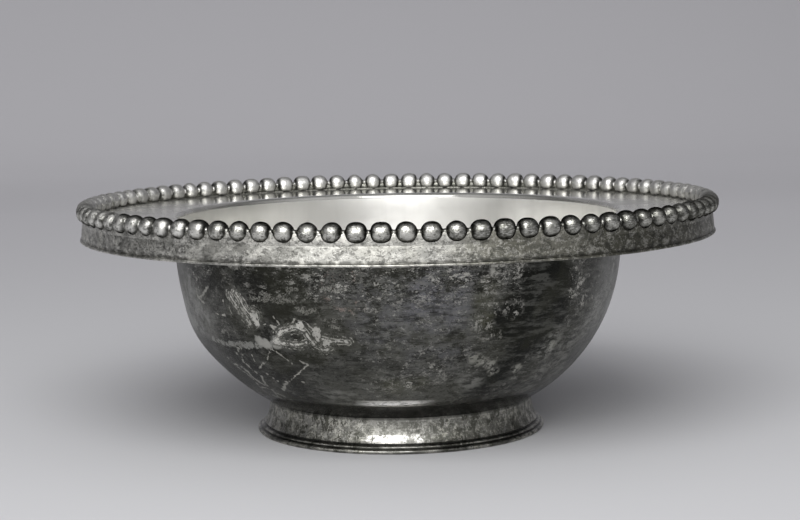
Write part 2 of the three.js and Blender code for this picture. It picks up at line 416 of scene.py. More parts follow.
@dataclass(frozen=True)
class TarnishedSilver:
    """Raised silver that stayed buried: black sulphide tarnish with a dull metal gloss.

    Level smears and flakes lie over it, bright specks show where it came off, and scraped veins cross its left side.
    """

    name: str = "tarnished_raised_silver"
    black: int = 0x2B2B28
    dark: int = 0x40403C
    middle: int = 0x5E5E5A
    pale: int = 0x888882
    bright: int = 0xC9C7BF
    rough: float = 0.30

    def crust(self, work: Work) -> tuple[Out, Out]:
        """Lays the tarnish itself: clouds, level flakes and specks.

        Args:
            work: the material's nodes.

        Returns:
            The flakes' mask and the clouds' mask.
        """
        loose = work.warped(9, 3.5)
        clouds = work.grain(24, 0.4, 0.62, 6, 3.1, 0.62, wide=1.3)
        smears = work.grain(2.4, 0.46, 0.6, 6, 1.3, 0.66, wide=4.5)
        flakes = work.grain(1.3, 0.53, 0.6, 6, 8.2, 0.75, wide=2.2)
        specks = work.grain(3.4, 0.56, 0.62, 4.4, 5, 0.92, wide=1.4)
        work.lay(self.middle, 0.8, clouds)
        work.lay(0x747475, 0.7, work.near(belly_line(3, 66, 9, 52, -2, 60, 14, 66), 30, 24, loose),
            work.grain(7, 0.38, 0.58, 6, 2, 0.6))
        work.lay(0x7B7B80, 0.45, work.near(BLUE_PATCHES, 9, 5, loose))
        left = work.near(belly_line(-30, 62, -40, 40, -22, 40, -28, 30), 24, 12, loose)
        work.lay(self.black, 0.8, left)
        right = work.near(DARK_PATCH, 9.5, 4.5, loose)
        work.lay(0x1D1E1B, 0.92, right)
        # Painted reflection: the low front of the belly is made lighter.
        work.lay(0x96968F, 0.36, work.raised(-5, 24, 22), work.turned(-24, 17, 10))
        work.lay(0x626253, 0.6, work.near(OLIVE_PATCHES, 6.5, 4, loose))
        work.lay(self.pale, 0.34, smears)
        work.lay(self.black, 0.6, work.grain(1.8, 0.52, 0.6, 6, 21, 0.7, wide=5))
        open_side = work.add("Math", 1, work.either(right, work.both(left, 0.7)), operation="SUBTRACT")
        work.lay(self.pale, 0.5, flakes, open_side)
        shed = work.both(specks, open_side)
        work.lay(self.bright, 0.45, shed)
        work.lay(self.black, 0.48, work.grain(4, 0.54, 0.59, 4.6, 51, 0.88, wide=1.8))
        upper = work.both(work.raised(70, 91, 9), work.turned(-62, 26, 10))
        work.lay(0x1E1E1B, 0.8, upper, work.grain(2.4, 0.5, 0.56, 4.2, 31, 0.92, wide=1.6))
        work.lay(self.bright, 0.8, upper, work.grain(2.6, 0.555, 0.605, 4.2, 4.4, 0.92, wide=2.2))
        work.lay(0x7E675E, 0.55, work.near(RUSTY_SPOTS, 9, 5, loose), specks)
        work.lay(0x191917, 0.7, work.grain(0.7, 0.58, 0.64, 4, 17, 0.7, wide=1.5))
        return work.either(shed, flakes), clouds

    def scrapes(self, work: Work) -> None:
        """Lays the pale patches and the scraped veins over the tarnish.

        Args:
            work: the material's nodes.
        """
        shaken = work.warped(2.6, 1.2)
        fine = work.warped(3.6, 0.7, 1.6)
        wear = work.grain(1.8, 0.33, 0.67, 5, 4, 0.7)
        swell = work.grain(5.5, 0.25, 0.75, 1, 34)
        tooth = work.grain(0.6, 0.42, 0.56, 3, 4.7, 0.7)
        work.lay(0x9A9A96, 0.9, work.near(GREY_SIDE, 12, 10, work.warped(7, 5, 5)), work.grain(7, 0.36, 0.58, 6, 3.3,
            0.75))
        work.lay(0x2A2A27, 0.75, work.near(DARK_LEFT, 5.5, 3, shaken))
        work.lay(0x1F1F1D, 0.6, work.raised(26, 43, 6), work.turned(-88, -48, 8))
        side = work.turned(64, 110, 12)
        work.lay(0x8C8C89, 0.5, side, work.grain(7, 0.36, 0.56, 6, 13.3, 0.75))
        work.lay(0x95958F, 0.85, work.near(STREAKS, 8, 5.5, shaken), work.grain(1.6, 0.44, 0.58, 5, 6.1, 0.7,
            wide=2.6))
        work.lay(0xB2B1A8, 0.85, work.near(PALE_SPOTS, 3.4, 2.2, shaken), work.add("MapRange", wear, 0.25, 0.6))
        work.lay(self.bright, 0.85, work.near(SPECK_PATCHES, 6, 5, shaken), work.grain(3, 0.535, 0.585, 4, 2.9, 0.9))
        flakes = work.worn(work.gap_to_lines(LEVEL_FLAKES, fine), wear, 1.5, 0.35, 0.35)
        work.lay(0xA3A29A, 0.85, flakes, tooth)
        work.lay(0xA3A39D, 0.9, work.worn(work.gap_to_lines(PALE_BANDS, shaken), wear, 1.8, 0.6, 0.5),
            work.add("MapRange", wear, 0.05, 0.35, 0.35, 1))
        work.lay(0xBFBEB7, 0.9, work.near(PALE_BLOBS, 2.9, 1.3, shaken))
        rope_gap = work.gap_to_lines(ROPES, fine)
        work.lay(0x5F5F5A, 0.7, work.worn(rope_gap, work.grain(3.5, 0.36, 0.6, 5, 24, 0.75), 5.5, 0.6, 2))
        halo = work.worn(rope_gap, wear, 2.6, 1.1, 1)
        work.lay(0x84847D, 0.85, halo, tooth)
        lay = work.add("Math", swell, 4, work.both(rope_gap, 5.2), operation="MULTIPLY_ADD")
        strands = work.add("MapRange", work.add("Math", lay, operation="SINE"), 0.3, 1.05, **SMOOTH)
        strands = work.both(work.both(halo, strands), work.grain(3.4, 0.42, 0.56, 5, 44, 0.72))
        work.lay(0xE2E0D6, 0.95, strands)
        work.lay(0xEAE8E0, 0.9, work.worn(rope_gap, wear, 1.25, -0.18, 0.3))
        faint_gap = work.gap_to_lines(FAINT_LINES, fine)
        work.lay(0x62625D, 0.6, work.worn(faint_gap, wear, 3, 0.2, 1.2))
        work.lay(0xB6B5AD, 0.9, work.worn(faint_gap, wear, 0.95, 0.16, 0.3))
        work.lay(0xC8C6BD, 0.9, work.worn(work.gap_to_lines(THREADS, fine), wear, 0.62, 0.06, 0.28))
        work.lay(0xB8B6AE, 0.9, work.near(SMALL_SPOTS, 0.85, 0.5, fine))
        bare = work.near(BARE_SPOTS, 2.4, 1.6, shaken)
        bare = work.add("MapRange", work.both(bare, wear), 0.16, 0.36)
        work.lay(0xE6E4DC, 0.92, bare)

    def material(self) -> bpy.types.Material:
        """Builds the material."""
        work = Work(self.name, self.dark)
        flakes, clouds = self.crust(work)
        self.scrapes(work)
        work.lay(0x46463A, 0.28, work.grain(16, 0.46, 0.62, 4, 11))
        # Painted shade: the low belly just over the foot is made near black, as if in the shade under the bowl.
        shaded_hem = work.raised(11, 19, 2.6)
        work.lay(0x1E1E1C, 0.85, shaded_hem)
        # A narrow near-white band low on the front of the belly, along the crease: partly tarnish rubbed off, partly
        # a painted highlight.
        rubbed_and_highlight = work.both(work.raised(20.8, 22.9, 0.7), work.turned(-7, 3, 10))
        rubbed_and_highlight = work.both(rubbed_and_highlight, work.grain(1.4, 0.32, 0.52, 5, 41, 0.8, wide=4))
        work.lay(0xFFFDF8, 0.95, rubbed_and_highlight)
        rough = work.add("MapRange", clouds, 0, 1, self.rough, self.rough + 0.1)
        rough = work.add("Mix", shaded_hem, rough, 0.2)
        return work.finish(rough, flakes, 0.035)


@dataclass(frozen=True)
class BrightSilver:
    """Planished silver that is still bright: pale, with broad soft hammer marks and hair scratches."""

    name: str = "planished_bright_silver"
    colour: int = 0xFFFEFA
    stain: int = 0xD6D5D0
    rough: float = 0.40

    def material(self) -> bpy.types.Material:
        """Builds the material."""
        work = Work(self.name, self.colour)
        clouds = work.grain(26, 0.38, 0.68, 3, 2.2)
        smears = work.grain(7, 0.45, 0.75, 2, 6.6, tall=7)
        work.lay(self.stain, 0.35, clouds)
        work.lay(self.stain, 0.25, smears)
        # Painted shade: the inner wall is darkened at the left and right of the back and towards the left end of the
        # mouth.
        wall = work.raised(62, 92, 22)
        work.lay(0xC4C3BE, 0.52, work.turned(-163, -140, 17), wall)
        work.lay(0xB4B3AE, 0.5, work.turned(153, 165, 13), wall)
        work.lay(0xA0A09B, 0.5, work.turned(-130, -102, 14), wall)
        rough = work.add("MapRange", clouds, 0, 1, self.rough, self.rough + 0.1)
        relief = work.grain(11, 0.3, 0.7, 1, 1)
        return work.finish(rough, relief, 0.07)


@dataclass(frozen=True)
class FlangeSilver:
    """The flange's flat top, worn smooth: mid-grey silver under a haze of fine wear that scatters some light."""

    name: str = "worn_flange_silver"
    colour: int = 0xD6D5D0
    stain: int = 0xACABA5
    rough: float = 0.24

    def material(self) -> bpy.types.Material:
        """Builds the material."""
        work = Work(self.name, self.colour)
        clouds = work.grain(22, 0.4, 0.66, 4, 12.2)
        specks = work.grain(0.9, 0.6, 0.72, 2, 3.6)
        work.lay(self.stain, 0.4, clouds)
        work.lay(0x6A6A66, 0.25, specks)
        rear = work.behind(140, 30)
        # Painted dark reflection: the rounding down into the mouth is darkened.
        work.lay(0x55554F, 0.24, work.raised(88, 91.8, 0.15))
        rough = work.add("MapRange", clouds, 0, 1, self.rough, self.rough + 0.08)
        rough = work.add("Mix", rear, rough, 0.1)
        relief = work.grain(9, 0.3, 0.7, 1, 5.5)
        return work.finish(rough, relief, 0.012, Metallic=0.82)


@dataclass(frozen=True)
class ApronSilver:
    """Worn silver of the hanging band: bright metal under flaking grey and olive tarnish."""

    name: str = "mottled_apron_silver"
    ground: int = 0xA6A59F
    bright: int = 0xE6E4DC
    dark: int = 0x42423E
    olive: int = 0x6A6857

    def material(self) -> bpy.types.Material:
        """Builds the material."""
        work = Work(self.name, self.ground)
        patches = work.grain(6, 0.42, 0.62, 5, 2.5, wide=1.5)
        specks = work.grain(2.4, 0.5, 0.57, 4, 8, 0.9, wide=1.3)
        dirt = work.grain(2.4, 0.51, 0.58, 4, 15, 0.9, wide=1.5)
        work.lay(self.bright, 0.35, patches)
        # Painted sheen: the band is lighter on its front left, where it faces the lights.
        work.lay(self.bright, 0.2, work.turned(-24, -4, 9), work.grain(5, 0.34, 0.54, 5, 5.2, wide=1.6))
        work.lay(0x8A8980, 0.5, work.turned(-3, 12, 6), patches)
        right = work.turned(15, 80, 8)
        work.lay(self.olive, 0.6, right)
        work.lay(0x4C4B40, 0.6, right, patches)
        work.lay(0x44443A, 0.52, work.turned(36, 82, 10))
        left = work.turned(-90, -36, 8)
        work.lay(0xC4C3BC, 0.75, left)
        work.lay(0x4E4E49, 0.7, left, work.grain(1.5, 0.52, 0.57, 4, 61, 0.88, wide=1.3))
        work.lay(0xF2F0EA, 0.6, left, work.grain(1.6, 0.53, 0.58, 4, 67, 0.88, wide=1.3))
        work.lay(self.bright, 0.4, specks)
        work.lay(self.dark, 0.62, dirt)
        work.lay(0x55554F, 0.5, work.grain(9, 0.5, 0.6, 6, 25, 0.75, wide=1.6))
        work.lay(self.dark, 0.55, work.raised(84.2, 85, 0.5), work.grain(3, 0.4, 0.58, 3, 6.4))
        # Painted shade: the web between the beads round the back, which this finish also dresses, is darkened.
        work.lay(0x77776F, 0.7, work.raised(92.2, 97, 0.3), work.behind(120, 20))
        rough = work.add("MapRange", patches, 0, 1, 0.34, 0.46)
        relief = work.add("Math", specks, 0.6, patches, operation="MULTIPLY_ADD")
        return work.finish(rough, relief, 0.07)


@dataclass(frozen=True)
class BeadSilver:
    """Solid cast beads, burnished by handling: near-mirror crowns; black tarnish and painted shade between and under
    the beads, painted shade on the front beads' tops.
    """

    name: str = "burnished_bead_silver"
    colour: int = 0xC2C1BA
    hollow_and_shade: int = 0x30302C
    rough: float = 0.27

    def material(self) -> bpy.types.Material:
        """Builds the material."""
        work = Work(self.name, self.colour)
        depth = work.add("Attribute", attribute_name="hollow_and_shade", pick="Fac")
        flecks = work.grain(3, 0.5, 0.57, 4.2, 3, 0.88)
        clouds = work.grain(7, 0.44, 0.56, 3, 9.9)
        hairs = work.grain(0.45, 0.5, 0.6, 3, 19, 0.7, wide=4)
        work.lay(0x7F7F78, 0.55, clouds, work.turned(-30, 90, 12))
        work.lay(0x6E6E68, 0.4, work.turned(14, 84, 10))
        # Painted highlight: the beads on the left are made near white, for their broad highlights.
        left = work.turned(-104, -38, 10)
        work.lay(0xF0EFEA, 0.65, left)
        dull = work.near([polar(13.1, 130, 95.1), polar(17, 130, 95.1)], 4.9, 1, work.place)
        work.lay(0x5C5C56, 0.62, dull)
        work.lay(0x4A4A45, 0.68, flecks)
        work.lay(0xF0EFEA, 0.4, hairs)
        # Painted highlight: the beads round the back are made near white, for bright blurred highlights.
        rear = work.behind(95, 25)
        work.lay(0xF4F3EF, 0.85, rear)
        # Tarnish and painted shade from the string's mark: between and under the beads, and on the front beads' tops.
        ragged = work.add("Math", flecks, 0.25, depth, operation="MULTIPLY_ADD")
        work.lay(self.hollow_and_shade, 0.9, work.add("MapRange", ragged, 0.22, 1.02))
        rough = work.add("MapRange", flecks, 0, 1, self.rough, self.rough + 0.14)
        rough = work.add("Mix", rear, rough, 0.42)
        rough = work.add("Mix", work.either(dull, left), rough, 0.38)
        relief = work.grain(2, 0.3, 0.7, 3, 4.2)
        rim = work.add("Mix", rear, linear(0x343434), linear(0xB8B8B6), data_type="RGBA")
        return work.finish(rough, relief, 0.1, Specular_Tint=rim)


@dataclass(frozen=True)
class FootSilver:
    """Turned silver of the foot: fine level tool lines, bright where it is worn, olive in the lee; a painted
    highlight on the front of the flare and painted shade on its collar under the belly.
    """

    name: str = "turned_foot_silver"
    ground: int = 0x9B9A94
    bright: int = 0xE4E2DA
    dark: int = 0x3A3A36

    def material(self) -> bpy.types.Material:
        """Builds the material."""
        work = Work(self.name, self.ground)
        rings = work.grain(0.5, 0.4, 0.7, 3, 2, wide=30)
        patches = work.grain(6, 0.44, 0.58, 6, 7, 0.75, wide=1.3)
        specks = work.grain(2.4, 0.52, 0.58, 4.2, 1, 0.9, tall=1.4)
        work.lay(0x6A6A63, 0.6, patches)
        work.lay(self.bright, 0.4, specks)
        sides = work.either(work.turned(-180, -18, 10), work.turned(18, 180, 10))
        work.lay(0xD0CEC2, 0.62, sides, work.grain(3.4, 0.5, 0.55, 4.6, 12, 0.88, tall=1.3))
        olive = work.both(sides, work.grain(4, 0.515, 0.565, 4.6, 5, 0.88, tall=1.5))
        work.lay(0x34342A, 0.8, olive)
        # A near-white patch on the front of the flare's foot: partly polish, partly a painted highlight.
        polish_and_highlight = work.both(work.raised(3.9, 6, 2.2), work.turned(-8, 5, 12))
        torn = work.grain(3.2, 0.46, 0.56, 4.4, 9.4, 0.85, wide=1.3)
        ragged = work.add("Math", torn, -0.55, polish_and_highlight, operation="MULTIPLY_ADD")
        polish_and_highlight = work.both(polish_and_highlight, work.add("MapRange", ragged, 0.15, 0.6))
        work.lay(0xFAF8F2, 0.9, polish_and_highlight)
        stains = work.grain(3.4, 0.53, 0.57, 4.6, 23, 0.88, wide=1.2)
        right = work.both(work.turned(3, 60, 7), work.grain(3, 0.47, 0.53, 4.6, 27, 0.88))
        stains = work.both(work.either(stains, right), work.raised(3.9, 12, 0.6))
        work.lay(0x5A5A53, 0.72, stains)
        work.lay(0x50504B, 0.35, rings, patches)
        # Painted shade: the collar at the top of the foot, under the belly, is darkened.
        work.lay(self.dark, 0.7, work.raised(13.3, 20, 1.1))
        work.lay(0x22221F, 0.9, work.either(work.raised(3.15, 3.8, 0.15), work.raised(1.85, 2.25, 0.15)))
        work.lay(self.dark, 0.7, work.raised(0.3, 3, 0.3), work.grain(4, 0.45, 0.62, 4, 3, wide=3))
        rough = work.add("MapRange", patches, 0, 1, 0.3, 0.42)
        rough = work.add("Mix", polish_and_highlight, rough, 0.3)
        rough = work.add("Mix", stains, rough, 0.5)
        relief = work.add("Math", rings, 0.5, specks, operation="MULTIPLY_ADD")
        return work.finish(rough, relief, 0.04)


@dataclass(frozen=True)
class DullSolder:
    """Silver solder left as it ran: leaden grey, pitted and matt."""

    name: str = "grey_silver_solder"
    colour: int = 0x7C7C76
    dark: int = 0x3E3E3A

    def material(self) -> bpy.types.Material:
        """Builds the material."""
        work = Work(self.name, self.colour)
        lumps = work.grain(2, 0.38, 0.62, 3, 1)
        pits = work.grain(0.6, 0.58, 0.68, 2, 2)
        work.lay(self.dark, 0.6, lumps)
        work.lay(self.dark, 0.8, pits)
        relief = work.add("Math", lumps, pits, operation="SUBTRACT")
        return work.finish(0.55, relief, 0.12)


def to_object(name: str, mesh: bmesh.types.BMesh) -> bpy.types.Object:
    """Turns a mesh into an object of the scene, and frees it."""
    data = bpy.data.meshes.new(name)
    mesh.to_mesh(data)
    mesh.free()
    made = bpy.data.objects.new(name, data)
    bpy.context.scene.collection.objects.link(made)
    return made


def chain(mesh: bmesh.types.BMesh, section: Line, steps: int, slot: int, closed: bool) -> None:
    """Turns a line of radius and height pairs once round the axis.

    Args:
        mesh: the mesh that gets the faces.
        section: the line, in millimetres.
        steps: number of faces round the axis.
        slot: material index of the new faces.
        closed: whether the line's end joins its start.
    """
    wedge = bmesh.new()
    verts = [wedge.verts.new((0.0, -r * MM, z * MM)) for r, z in section]
    pairs = list(zip(verts, verts[1:])) + ([(verts[-1], verts[0])] if closed else [])
    edges = [wedge.edges.new(pair) for pair in pairs]
    part = 2 * math.pi / WEDGES
    bmesh.ops.spin(wedge, geom=verts + edges, cent=(0, 0, 0), axis=(0, 0, 1), angle=part, steps=steps // WEDGES)
    for face in wedge.faces:
        face.material_index = slot
    data = bpy.data.meshes.new("wedge")
    wedge.to_mesh(data)
    wedge.free()
    for _ in range(WEDGES):
        mesh.from_mesh(data)
        data.transform(Matrix.Rotation(part, 4, "Z"))
    bpy.data.meshes.remove(data)


def shade(mesh: bmesh.types.BMesh, sharp: float = 38.0) -> None:
    """Closes a mesh, turns it outwards and smooths all but its sharp edges.

    Args:
        mesh: the mesh.
        sharp: angle in degrees from which an edge stays sharp.
    """
    bmesh.ops.remove_doubles(mesh, verts=mesh.verts, dist=1e-6)
    bmesh.ops.recalc_face_normals(mesh, faces=mesh.faces)
    for face in mesh.faces:
        face.smooth = True
    for edge in mesh.edges:
        edge.smooth = edge.calc_face_angle(0.0) < math.radians(sharp)


@dataclass
class Piece:
    """What every piece of the bowl shares: its name, the CAD node it stands for and its finish."""

    name: str
    node: str
    slot: Slot

    def place(self, mesh: bmesh.types.BMesh, *finishes) -> bpy.types.Object:
        """Makes the object from its mesh, dresses it and ties it to the frame.

        Args:
            mesh: the finished mesh, in metres at its place.
            finishes: one finish for each material index.

        Returns:
            The object.
        """
        piece = to_object(self.name, mesh)
        for finish in finishes:
            piece.data.materials.append(finish.material())
        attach(piece, BODY)
        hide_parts(self.node)
        LOG.info("%s: %d faces, stands for %s", self.name, len(piece.data.polygons), self.node)
        return piece


@dataclass
class BowlShell(Piece):
    """The bowl, its base and its flange, raised from one sheet."""

    name: str = "bowl_shell"
    node: str = "bowl_body"
    slot: Slot = Slot.RAISED
    sheet: float = 1.6
    base_height: float = 6.0
    wall_radius: float = 93.5
    flange_radius: float = 129.5
    flange_top: float = 92.0
    mouth_edge: float = 2.0
    corner: float = 1.6
    dent: float = 0.16
    calm: float = 88.5  # height from which the shell is true, just under the mouth's rounding
    crease: float = 0.72
    crease_height: float = 21.75
    crease_lean: float = 1.7  # how much higher it is at the right than in the middle
    crease_soft: float = 0.50
    crease_turn: float = -2.0
    crease_left: float = 17.0  # degrees over which it fades towards the left
    crease_right: float = 11.0
    bulge: float = 1.9
    bulge_turn: tuple[float, float] = (-88.0, 34.0)  # middle and reach in degrees
    bulge_height: tuple[float, float] = (42.0, 13.0)
    steps: int = 288

    def outside(self) -> Line:
        """Gives the line of the outer face, from the centre mark up to the flange's outer edge."""
        under = self.flange_top - self.sheet
        arc = [
            (self.wall_radius + self.corner * (1 - math.cos(a)), under - self.corner * (1 - math.sin(a)))
            for a in (math.radians(15 * i) for i in range(7))
        ]
        base = [(0.0, self.base_height + 0.5), (0.5, self.base_height + 0.4), (1.2, self.base_height),
            (8.0, self.base_height), (18.0, self.base_height)]
        edge = [(112.0, under), (self.flange_radius, under), (self.flange_radius, self.flange_top)]
        belly = [p for i, p in enumerate(belly_curve(steps=601)) if i % 12 == 0 or 19.2 < p[1] < 24.8]
        return base + belly + [(self.wall_radius, 84.0)] + arc + edge

    def flange(self) -> Line:
        """Gives the line of the flange's top, from its outer edge into the rounding of the mouth."""
        centre = (self.wall_radius - self.sheet + self.mouth_edge, self.flange_top - self.mouth_edge)
        arc = [
            (centre[0] + self.mouth_edge * math.cos(a), centre[1] + self.mouth_edge * math.sin(a))
            for a in (math.radians(90 + 15 * i) for i in range(7))
        ]
        flat = [(self.flange_radius - i * (self.flange_radius - centre[0]) / 12, self.flange_top) for i in range(12)]
        return flat + arc

    def inside(self) -> Line:
        """Gives the line of the inner face, from the mouth down to the middle of the floor."""
        top = (self.wall_radius - self.sheet, self.flange_top - self.mouth_edge)
        floor = self.base_height + self.sheet
        return [top, (top[0], 85.0)] + belly_curve(self.sheet)[::-1] + [(18.0, floor), (8.0, floor), (0.0, floor)]

    def build(self) -> bpy.types.Object:
        """Builds the shell, out of true as raised work is."""
        mesh = bmesh.new()
        for slot, line in enumerate((self.outside(), self.inside(), self.flange())):
            chain(mesh, line, self.steps, slot, closed=False)
        shade(mesh)
        mesh.normal_update()
        for vert in mesh.verts:
            self.crease_at(vert)
            if vert.co.z < self.calm * MM:
                self.wave_at(vert)
        return self.place(mesh, TarnishedSilver(), BrightSilver(), FlangeSilver())

    def crease_at(self, vert: bmesh.types.BMVert) -> None:
        """Lifts a point of the crease that runs low on the front of the belly."""
        if 16 * MM < vert.co.z < 28 * MM and vert.normal.z < 0.0:
            lean = self.crease_lean * vert.co.x / math.hypot(vert.co.x, vert.co.y)
            off = (vert.co.z / MM - self.crease_height - lean) / self.crease_soft
            turn = turn_of(vert.co) - self.crease_turn
            fade = math.exp(-((turn / (self.crease_left if turn < 0.0 else self.crease_right)) ** 2))
            vert.co += vert.normal * self.crease * fade * math.exp(-off * off) * MM

    def wave_at(self, vert: bmesh.types.BMVert) -> None:
        """Shifts a point by the hammer waves and by the swelling of the left side."""
        wave = noise.noise(Vector(vert.co) * 38.0) * 0.7 + noise.noise(Vector(vert.co) * 90.0) * 0.3
        out = Vector((vert.co.x, vert.co.y, 0.0))
        fade = min(1.0, (self.calm * MM - vert.co.z) / (10 * MM)) * min(1.0, out.length / (50 * MM))
        if out.length > 45 * MM or vert.co.z > 20 * MM:
            vert.co += out.normalized() * wave * self.dent * MM * fade
        aside = (turn_of(vert.co) - self.bulge_turn[0]) / self.bulge_turn[1]
        above = (vert.co.z / MM - self.bulge_height[0]) / self.bulge_height[1]
        vert.co += out.normalized() * math.exp(-(aside**2) - above**2) * self.bulge * MM


@dataclass
class ApronBand(Piece):
    """The band that hangs from the flange's edge, with a score line above its rolled bottom."""

    name: str = "apron_band"
    node: str = "rim_apron"
    slot: Slot = Slot.APRON
    steps: int = 320
    wave: float = 0.18

    def section(self) -> Line:
        """Gives the band's section, in millimetres."""
        roll = [
            (131.93 + 0.56 * math.cos(a), 83.47 + 0.56 * math.sin(a))
            for a in (math.radians(75 - 165 * i / 8) for i in range(9))
        ]
        face = [(129.8, 92.0), (130.5, 91.95), (131.0, 91.7), (131.25, 91.2), (131.42, 89.8), (131.6, 88.2),
            (131.76, 86.6), (131.88, 85.2), (131.92, 84.65), (131.66, 84.45), (131.68, 84.2)]
        back = [(130.6, 82.93), (130.45, 83.1), (130.2, 86.0), (129.95, 89.0)]
        return face + roll + back

    def build(self) -> bpy.types.Object:
        """Builds the band, slightly bent as the real rim is."""
        mesh = bmesh.new()
        chain(mesh, self.section(), self.steps, 0, closed=True)
        shade(mesh, 50.0)
        for vert in mesh.verts:
            hang = max(0.0, (0.0915 - vert.co.z) / 0.0085)
            out = Vector((vert.co.x, vert.co.y, 0.0)).normalized()
            shift = noise.noise(out * 2.6 + Vector((3.0, 1.0, 0.0))) + 0.4 * noise.noise(out * 9.0)
            vert.co.z += shift * self.wave * hang * MM
        return self.place(mesh, ApronSilver())


@dataclass
class BeadString(Piece):
    """The string of beads: each swells from the core wire and narrows to it again, over a low web."""

    name: str = "bead_string"
    node: str = "bead_moulding"
    slot: Slot = Slot.BEADS
    count: int = 92
    circle: float = 130.0
    height: float = 95.1
    radius: float = 3.98
    neck: float = 1.0
    first_turn: float = 1.38
    arc_steps: int = 16
    round_steps: int = 22

    @property
    def half_pitch(self) -> float:
        """Half the length of wire that one bead takes."""
        return math.pi * self.circle / self.count

    def unit(self) -> bpy.types.Mesh:
        """Makes one bead on its stretch of wire, along x and round the origin, in millimetres."""
        mesh = bmesh.new()
        start = math.asin(self.neck / self.radius) + 0.05
        angles = [start + (math.pi - 2 * start) * i / self.arc_steps for i in range(self.arc_steps + 1)]
        line = [(-self.half_pitch, self.neck * 0.97)]
        line += [(-self.radius * math.cos(a), self.radius * math.sin(a)) for a in angles]
        line += [(self.half_pitch, self.neck * 0.97)]
        verts = [mesh.verts.new((x, reach, 0.0)) for x, reach in line]
        edges = [mesh.edges.new(pair) for pair in zip(verts, verts[1:])]
        bmesh.ops.spin(mesh, geom=verts + edges, cent=(0, 0, 0), axis=(1, 0, 0), angle=2 * math.pi,
            steps=self.round_steps, use_merge=True)
        bmesh.ops.remove_doubles(mesh, verts=mesh.verts, dist=1e-4)
        data = bpy.data.meshes.new("bead_unit")
        mesh.to_mesh(data)
        mesh.free()
        return data

    def bead(self, mesh: bmesh.types.BMesh, unit: bpy.types.Mesh, index: int) -> None:
        """Sets one bead on the wire, a little out of true as hand-finished beads are.

        Args:
            mesh: the mesh that gets the bead.
            unit: the bead to set.
            index: its number, counted from the front.
        """
        start = len(mesh.verts)
        mesh.from_mesh(unit)
        mesh.verts.ensure_lookup_table()
        chance = [noise.noise(Vector((index * 3.7 + k * 11.3, k * 5.1, 0.5))) for k in range(6)]
        size = 0.985 - 0.06 * abs(chance[0])
        power = 2.25 + 0.9 * chance[5]
        turn = math.degrees(index * 2 * math.pi / self.count) + self.first_turn
        for vert in mesh.verts[start:]:
            x, across, up = vert.co
            inner = 1.0 - min(1.0, abs(x) / self.half_pitch) ** 6
            spin = math.atan2(up, across)
            square = 1.0 + inner * (0.03 * chance[1] * math.cos(4 * spin) + 0.05 * chance[2] * math.cos(2 * spin + 1))
            lean = inner * chance[3] * 0.16
            tilt = math.atan2(math.hypot(up, across), x)
            barrel = (abs(math.cos(tilt)) ** power + abs(math.sin(tilt)) ** power) ** (-1 / power)
            reach = 1.0 + inner * (size * min(square, 1.012) * max(barrel, 0.985) - 1.0)
            x = x * (1.0 + inner * (barrel - 1.0 - 0.02 * abs(chance[4]))) + lean * up
            vert.co = polar(turn + math.degrees(x / self.circle), self.circle + across * reach,
                self.height + up * reach) * MM

    def build(self) -> bpy.types.Object:
        """Builds the string, the web under it and a mark for tarnish and painted shade: deep between and under the
        beads, and on the front beads' tops.
        """
        mesh = bmesh.new()
        unit = self.unit()
        for index in range(self.count):
            self.bead(mesh, unit, index)
        bpy.data.meshes.remove(unit)
        bmesh.ops.remove_doubles(mesh, verts=mesh.verts, dist=2e-6)
        web = [(131.36, 90.4), (131.44, 91.2), (131.42, 92.2), (131.35, 93.2), (131.2, 94.3), (130.95, 95.2),
            (130.55, 95.8), (130.1, 95.9), (129.7, 95.5), (129.4, 94.4), (129.2, 93.0), (128.4, 92.6), (127.8, 92.35),
            (127.8, 92.02), (130.4, 91.6)]
        chain(mesh, web, self.count * 3, 1, closed=True)
        shade(mesh, 60.0)
        hollow_and_shade = mesh.verts.layers.float.new("hollow_and_shade")
        pitch = 2 * math.pi / self.count
        for vert in mesh.verts:
            reach = math.hypot(vert.co.x, vert.co.y) / MM
            turn = math.atan2(vert.co.x, -vert.co.y) - math.radians(self.first_turn)
            along = (turn / pitch - round(turn / pitch)) * 2 * self.half_pitch
            off = Vector((along, reach - self.circle, vert.co.z / MM - self.height))
            # The mark: tarnish and painted shade between and under the beads; painted shade alone on the tops of the
            # front beads.
            between = max(0.0, (abs(along) - 1.9) / 1.45) * (1.0 if abs(along) < 3.7 else 0.35)
            below = max(0.0, (-off.z - 1.5) / 1.5)
            above = 0.9 * max(0.0, (off.z - 2.2) / 1.2) if vert.co.y < -0.75 * abs(vert.co.x) else 0.0
            vert[hollow_and_shade] = min(1.0, between + below + above)
        return self.place(mesh, BeadSilver(), ApronSilver())


